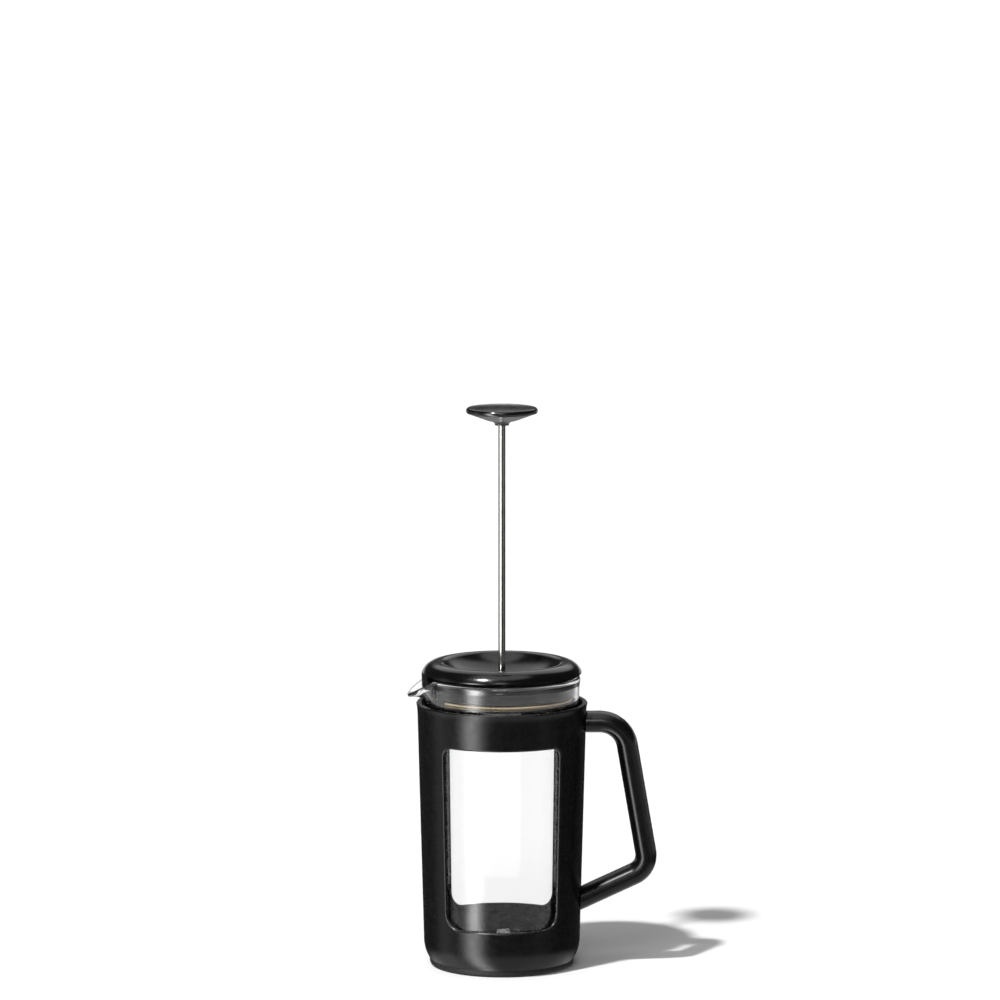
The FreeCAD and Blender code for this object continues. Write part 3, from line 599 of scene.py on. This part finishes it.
def handle_line(high):
    """Middle line of the handle in its own plane, from the upper root to the lower one."""
    level = high.z - HANDLE_THICK / 2
    grip_side = Vector((math.cos(GRIP_LEAN), math.sin(GRIP_LEAN)))
    down = Vector((math.sin(GRIP_LEAN), -math.cos(GRIP_LEAN)))
    high_centre = Vector((GRIP_OUT - HIGH_BEND * grip_side.x, level - HIGH_BEND))
    grip_start = high_centre + grip_side * HIGH_BEND
    grip_end = grip_start + down * ((grip_start.y - GRIP_LOW) / -down.y)
    low_centre = grip_end - grip_side * LOW_BEND
    low_turn = ARM_SLOPE - math.pi / 2
    low_side = Vector((math.cos(low_turn), math.sin(low_turn)))
    arm_start = low_centre + low_side * LOW_BEND
    inward = Vector((-math.cos(ARM_SLOPE), -math.sin(ARM_SLOPE)))
    reach = (arm_start.x - WALL_LOW[1] - HANDLE_THICK / 2) / math.cos(ARM_SLOPE)
    arm_side = Vector((0, 1))
    arm_end = high_centre + arm_side * HIGH_BEND
    upper_root = Vector((WALL_HIGH[1] + ROOT_START, level))
    return (
        straight(upper_root, arm_end, arm_side, ROOT_STEPS)
        + bend(high_centre, HIGH_BEND, math.pi / 2, GRIP_LEAN, BEND_STEPS)
        + straight(grip_start, grip_end, grip_side, GRIP_STEPS)
        + bend(low_centre, LOW_BEND, GRIP_LEAN, low_turn, BEND_STEPS)
        + straight(arm_start, arm_start + inward * reach, low_side, ARM_STEPS)
    )


def fuller(part):
    """A sine or cosine pushed outwards, for the full oval of the handle."""
    return math.copysign(abs(part) ** HANDLE_FULLNESS, part)


def handle_section(station, half_wide, shrink=0.0):
    """Points of the soft oval section at a station."""
    where, side = station
    points = []
    for step in range(HANDLE_SECTION_STEPS):
        turn = FULL_TURN * step / HANDLE_SECTION_STEPS
        point = where + side * fuller(math.cos(turn)) * (HANDLE_THICK / 2 - shrink)
        across = fuller(math.sin(turn)) * (half_wide - shrink)
        points.append(Vector((point.x, across, point.y)))
    return points


def fitted_to_wall(points, direction, gap):
    """Slide the points along a direction until each is at a gap from the frame's wall."""
    moved = []
    for point in points:
        for _ in range(FIT_ROUNDS):
            short = math.hypot(point.x, point.y) - frame_wall(point.z) - gap
            point = point + direction * (short / -direction.x)
        moved.append(point)
    return moved


def make_handle():
    """Swept grip with a fine seam where it meets the frame."""
    high = span("handle")[1]
    stations = handle_line(high)
    upper = Vector((-1, 0, 0))
    lower = Vector((-math.cos(ARM_SLOPE), 0, -math.sin(ARM_SLOPE)))

    def root(station, direction):
        """Rings from the seam inside the wall out to the full section."""
        neck = handle_section(station, high.y, ROOT_SEAM)
        full = handle_section(station, high.y)
        rings = [fitted_to_wall(neck, direction, gap) for gap in (-ROOT_INSET, NECK_GAP)]
        return rings + [fitted_to_wall(full, direction, gap) for gap in FULL_GAPS]

    outlines = root(stations[0], upper)
    outlines += [handle_section(station, high.y) for station in stations]
    outlines += reversed(root(stations[-1], lower))

    def build(grid):
        rings = [[grid.verts.new(point) for point in outline] for outline in outlines]
        for ring, following in zip(rings, rings[1:]):
            bridge(grid, ring, following)
        grid.faces.new(rings[0])
        grid.faces.new(list(reversed(rings[-1])))

    data = mesh_from("grip", build)
    finish = MATERIALS["satin_black_plastic"]
    piece = add_object("grip", data, "frame", finish)
    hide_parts("handle")


# ---------------------------------------------------------------- strainer in the spout


SKIRT_RADIUS = 46.6
PANEL_WALL = 1.2
PANEL_HALF = math.radians(38)
PANEL_POST = math.radians(5.0)
PANEL_BAR = 2.2
PANEL_RIBS = 14
PANEL_STEPS = 40
POST_STEPS = 4
RIB_SINK = 0.15  # the ribs stand back this much from both faces of the panel
RIB_SHARE = 0.24  # half of a rib's width, as a share of the ribs' spacing
PANEL_EDGE = 0.22
BLOCK_HALF = math.radians(20)
BLOCK_STEPS = 24
BLOCK_BACK = 1.4  # thickness of the wall behind the fins
BLOCK_LEDGE = 2.4
BLOCK_LEDGE_DROP = 0.1
BLOCK_POST = math.radians(1.6)
BLOCK_POST_STEPS = 2
BLOCK_POST_SINK = 0.5
BLOCK_POST_LOW = 0.2
BLOCK_BACK_LOW = 0.4
BLOCK_TOP = 1  # the back wall and the posts end this far below the top, inside the ledge
BLOCK_EDGE = 0.18
BLOCK_EDGE_STEPS = 2
BLOCK_FINS = 4
FIN_FIRST = 0.1  # height of the lowest fin, as a share of the fins' spacing
FIN_THICK = 0.6
FIN_RISE = 0.75  # how much higher a fin is at its back
FIN_ROOT = 0.3  # how far the fins reach into the back wall
FIN_SINK = 0.1
FIN_INSET = 0.01  # radians between the fins' ends and the block's


def make_strainer():
    """Slotted panel with a rim, posts at its ends and upright ribs between them."""
    low, high = span("strainer_panel")
    inner, outer = SKIRT_RADIUS - PANEL_WALL, SKIRT_RADIUS
    first, last = SPOUT_SIDE - PANEL_HALF, SPOUT_SIDE + PANEL_HALF

    def build(grid):
        for bar_low in (low.z, high.z - PANEL_BAR):
            bar = rectangle(inner, outer, bar_low, bar_low + PANEL_BAR)
            sweep_section(grid, bar, first, last, PANEL_STEPS)
        upright_low, upright_high = low.z + PANEL_BAR / 2, high.z - PANEL_BAR / 2
        upright = rectangle(inner, outer, upright_low, upright_high)
        sweep_section(grid, upright, first, first + PANEL_POST, POST_STEPS)
        sweep_section(grid, upright, last - PANEL_POST, last, POST_STEPS)
        rib = rectangle(inner + RIB_SINK, outer - RIB_SINK, upright_low, upright_high)
        room = 2 * (PANEL_HALF - PANEL_POST)
        for index in range(PANEL_RIBS):
            middle = first + PANEL_POST + room * (index + 0.5) / PANEL_RIBS
            half = room / PANEL_RIBS * RIB_SHARE
            sweep_section(grid, rib, middle - half, middle + half, 1)

    data = mesh_from("strainer", build)
    finish = MATERIALS["lid_black_plastic"]
    piece = add_object("strainer", data, "lid", finish)
    soften(piece, PANEL_EDGE)
    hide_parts("strainer_panel")


def make_louvre():
    """Block under the flange: a smooth ledge over slanting fins and a back wall."""
    low, high = span("spout_louvre")
    outer = -low.x
    back = SKIRT_RADIUS + BLOCK_BACK
    first, last = SPOUT_SIDE - BLOCK_HALF, SPOUT_SIDE + BLOCK_HALF

    def build(grid):
        ledge_low, ledge_high = high.z - BLOCK_LEDGE, high.z - BLOCK_LEDGE_DROP
        ledge = rectangle(SKIRT_RADIUS, outer, ledge_low, ledge_high)
        sweep_section(grid, ledge, first, last, BLOCK_STEPS)
        top = high.z - BLOCK_TOP
        wall = rectangle(SKIRT_RADIUS, back, low.z + BLOCK_BACK_LOW, top)
        sweep_section(grid, wall, first, last, BLOCK_STEPS)
        post = rectangle(SKIRT_RADIUS, outer - BLOCK_POST_SINK, low.z + BLOCK_POST_LOW, top)
        for end in (first, last - BLOCK_POST):
            sweep_section(grid, post, end, end + BLOCK_POST, BLOCK_POST_STEPS)
        pitch = (high.z - BLOCK_LEDGE - low.z) / BLOCK_FINS
        for index in range(BLOCK_FINS):
            level = low.z + pitch * (index + FIN_FIRST)
            fin = [
                (back - FIN_ROOT, level + FIN_RISE),
                (outer - FIN_SINK, level),
                (outer - FIN_SINK, level + FIN_THICK),
                (back - FIN_ROOT, level + FIN_RISE + FIN_THICK),
            ]
            sweep_section(grid, fin, first + FIN_INSET, last - FIN_INSET, BLOCK_STEPS)

    data = mesh_from("louvre", build)
    finish = MATERIALS["lid_black_plastic"]
    piece = add_object("louvre", data, "lid", finish)
    soften(piece, BLOCK_EDGE, BLOCK_EDGE_STEPS)
    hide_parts("spout_louvre")


# ---------------------------------------------------------------- filter


WIRE_RADIUS = 0.3
COIL_PITCH = 0.78
WIRE_SIDES = 6
STEPS_PER_TURN = 12
HEM = 1.6  # width of the screen's folded edge
HEM_SLOPE = 0.2
HEM_ROUND = (0.15, 0.12)  # how far its corners are cut, outwards and in height
CLOTH_SINK = 0.12  # the cloth is thinner than the hem by this on each side
SCREEN_STEPS = 180


def make_edge_spring():
    """Close-wound spring round the edge of the filter."""
    low, high = span("edge_spring")
    coil_radius = (high.z - low.z) / 2 - WIRE_RADIUS
    ring_radius = high.x - (high.z - low.z) / 2
    level = (low.z + high.z) / 2
    turns = round(FULL_TURN * ring_radius / COIL_PITCH)
    steps = turns * STEPS_PER_TURN

    def build(grid):
        rings = []
        for step in range(steps):
            around = FULL_TURN * step / steps
            phase = FULL_TURN * step / STEPS_PER_TURN
            outward = polar(1, around, 0)
            normal = outward * math.cos(phase) + Vector((0, 0, math.sin(phase)))
            centre = outward * ring_radius + Vector((0, 0, level)) + normal * coil_radius
            winding = Vector((0, 0, math.cos(phase))) - outward * math.sin(phase)
            forward = polar(1, around + math.pi / 2, 0)
            along = (winding * coil_radius * turns + forward * ring_radius).normalized()
            side = along.cross(normal)
            ring = []
            for part in range(WIRE_SIDES):
                turn = FULL_TURN * part / WIRE_SIDES
                offset = normal * math.cos(turn) + side * math.sin(turn)
                ring.append(grid.verts.new(centre + offset * WIRE_RADIUS))
            rings.append(ring)
        for ring, following in zip(rings, rings[1:] + rings[:1]):
            bridge(grid, ring, following)

    data = mesh_from("spring_coil", build)
    piece = add_object("spring_coil", data, "plunger", MATERIALS["filter_edge"])
    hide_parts("edge_spring")


def make_mesh_screen():
    """Disc of wire cloth with a folded hem."""
    low, high = span("mesh_screen")
    edge = high.x
    rod = span("rod")[1].x
    hem = edge - HEM
    cut_out, cut_high = HEM_ROUND
    outline = [
        (rod, low.z + CLOTH_SINK),
        (hem, low.z + CLOTH_SINK),
        (hem + HEM_SLOPE, low.z),
        (edge - cut_out, low.z),
        (edge, low.z + cut_high),
        (edge, high.z - cut_high),
        (edge - cut_out, high.z),
        (hem + HEM_SLOPE, high.z),
        (hem, high.z - CLOTH_SINK),
        (rod, high.z - CLOTH_SINK),
    ]

    def build(grid):
        rings = []
        for step in range(SCREEN_STEPS):
            around = FULL_TURN * step / SCREEN_STEPS
            rings.append(section_at(grid, outline, around))
        for ring, following in zip(rings, rings[1:] + rings[:1]):
            bridge(grid, ring, following)

    data = mesh_from("screen", build)
    piece = add_object("screen", data, "plunger", MATERIALS["filter_mesh"])
    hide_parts("mesh_screen")


# ---------------------------------------------------------------- stage, light and camera


FLOOR_RADIUS = 18.0
FLOOR_SIDES = 96
FLOOR_GAP = 0.0001  # the floor lies this far below the foot


def make_floor():
    """Round pale floor under the foot."""
    grid = bmesh.new()
    bmesh.ops.create_circle(grid, cap_ends=True, segments=FLOOR_SIDES, radius=FLOOR_RADIUS)
    data = bpy.data.meshes.new("floor")
    grid.to_mesh(data)
    grid.free()
    floor = bpy.data.objects.new("floor", data)
    bpy.context.scene.collection.objects.link(floor)
    floor.location.z = cad_low.z - FLOOR_GAP
    floor.data.materials.append(floor_paint())
    floor.visible_glossy = False


class Sky:
    """The studio's soft lights as a pattern of directions round the object."""

    def __init__(self):
        world = bpy.data.worlds.new("studio")
        world.use_nodes = True
        bpy.context.scene.world = world
        self.tree = world.node_tree
        self.background = self.tree.nodes["Background"]
        self.direction = self.tree.nodes.new("ShaderNodeTexCoord").outputs["Generated"]
        split = self.tree.nodes.new("ShaderNodeSeparateXYZ")
        self.tree.links.new(self.direction, split.inputs[0])
        self.up = split.outputs["Z"]
        front = self.math("MULTIPLY", split.outputs["Y"], -1.0)
        self.azimuth = self.math("ARCTAN2", split.outputs["X"], front)

    def math(self, operation, *values):
        node = self.tree.nodes.new("ShaderNodeMath")
        node.operation = operation
        for socket, value in zip(node.inputs, values):
            if isinstance(value, (int, float)):
                socket.default_value = value
            else:
                self.tree.links.new(value, socket)
        return node.outputs[0]

    def step(self, value, start, finish, strength=1.0):
        """Smooth rise from nothing at start to the strength at finish."""
        node = self.tree.nodes.new("ShaderNodeMapRange")
        node.interpolation_type = "SMOOTHSTEP"
        node.inputs["From Min"].default_value = start
        node.inputs["From Max"].default_value = finish
        node.inputs["To Max"].default_value = strength
        self.tree.links.new(value, node.inputs["Value"])
        return node.outputs["Result"]

    def patch(self, azimuth, elevation, width, strength):
        """Round soft light in a direction, its angles in degrees."""
        turn, lift = math.radians(azimuth), math.radians(elevation)
        flat = math.cos(lift)
        node = self.tree.nodes.new("ShaderNodeVectorMath")
        node.operation = "DOT_PRODUCT"
        self.tree.links.new(self.direction, node.inputs[0])
        towards = (flat * math.sin(turn), -flat * math.cos(turn), math.sin(lift))
        node.inputs[1].default_value = towards
        edge = math.cos(math.radians(width))
        return self.step(node.outputs["Value"], edge, (1 + edge) / 2, strength)

    def strip(self, degrees, width, strength):
        """Upright soft light at an azimuth from the front, positive towards +X."""
        off = self.math("SUBTRACT", self.azimuth, math.radians(degrees))
        share = self.math("DIVIDE", off, math.radians(width))
        square = self.math("MULTIPLY", share, share)
        bell = self.math("EXPONENT", self.math("MULTIPLY", square, -1.0))
        return self.math("MULTIPLY", bell, strength)

    def finish(self, lights):
        """Add the lights up into the world's strength."""
        total = lights[0]
        for light in lights[1:]:
            total = self.math("ADD", total, light)
        self.tree.links.new(total, self.background.inputs["Strength"])


SURROUNDINGS = 0.035
HORIZON_BAND = (0.035, 0.07)  # heights of the direction between which the white band ends
STRIP_TOP = (0.35, 0.6)  # and between which the upright strips end
BOUNCE_START = (0.32, 0.5)  # depths of the direction between which the floor's bounce starts
BOUNCE = 0.75


def make_world():
    """Dim surroundings, upright strips, soft lights and the bounce from the floor."""
    sky = Sky()
    sky.background.inputs["Color"].default_value = (1, 1, 1, 1)
    height = sky.math("ABSOLUTE", sky.up)
    horizon = sky.math("SUBTRACT", 1.0, sky.step(height, *HORIZON_BAND))
    down = sky.math("MULTIPLY", sky.up, -1.0)
    low = sky.math("SUBTRACT", 1.0, sky.step(sky.up, *STRIP_TOP))
    lights = [
        sky.math("ADD", SURROUNDINGS, horizon),
        sky.math("MULTIPLY", low, sky.strip(degrees=-43, width=11, strength=9.5)),
        sky.math("MULTIPLY", low, sky.strip(degrees=62, width=12, strength=0.15)),
        sky.math("MULTIPLY", low, sky.strip(degrees=-92, width=14, strength=0.6)),
        sky.patch(azimuth=-3, elevation=34, width=12, strength=6.5),
        sky.patch(azimuth=0, elevation=88, width=26, strength=1.2),
        sky.patch(azimuth=176, elevation=42, width=30, strength=1.0),
        sky.step(down, *BOUNCE_START, BOUNCE),
    ]
    sky.finish(lights)


KEY_STRENGTH = 4.1
KEY_ANGLE = math.radians(3.0)
KEY_SIDE = Vector((-0.343, -0.366, 0.866))  # direction from which the key light comes


def make_key():
    """Hard light from the upper left front, for the shadow on the right."""
    light = bpy.data.lights.new("key", "SUN")
    light.energy = KEY_STRENGTH
    light.angle = KEY_ANGLE
    key = bpy.data.objects.new("key", light)
    key.rotation_mode = "QUATERNION"
    key.rotation_quaternion = KEY_SIDE.to_track_quat("Z", "Y")
    bpy.context.scene.collection.objects.link(key)


CAMERA_DISTANCE = 4.0
CAMERA_HEIGHT = 0.86
CAMERA_SIDE = -0.0012
CAMERA_PITCH = 7.97
CAMERA_LENS = 228.7


def make_camera():
    """Long lens, a little above the object, with room above for the lifted parts."""
    data = bpy.data.cameras.new("camera")
    data.sensor_width = 36.0
    data.lens = CAMERA_LENS
    data.clip_start = 0.1
    data.clip_end = 60.0
    camera = bpy.data.objects.new("camera", data)
    camera.location = (CAMERA_SIDE, -CAMERA_DISTANCE, CAMERA_HEIGHT)
    camera.rotation_euler = (math.radians(90 - CAMERA_PITCH), 0, 0)
    bpy.context.scene.collection.objects.link(camera)
    bpy.context.scene.camera = camera


bpy.context.scene.view_settings.view_transform = "Standard"
dress_cad_nodes()
make_glass()
make_handle()
make_strainer()
make_louvre()
make_edge_spring()
make_mesh_screen()
make_floor()
make_world()
make_key()
make_camera()
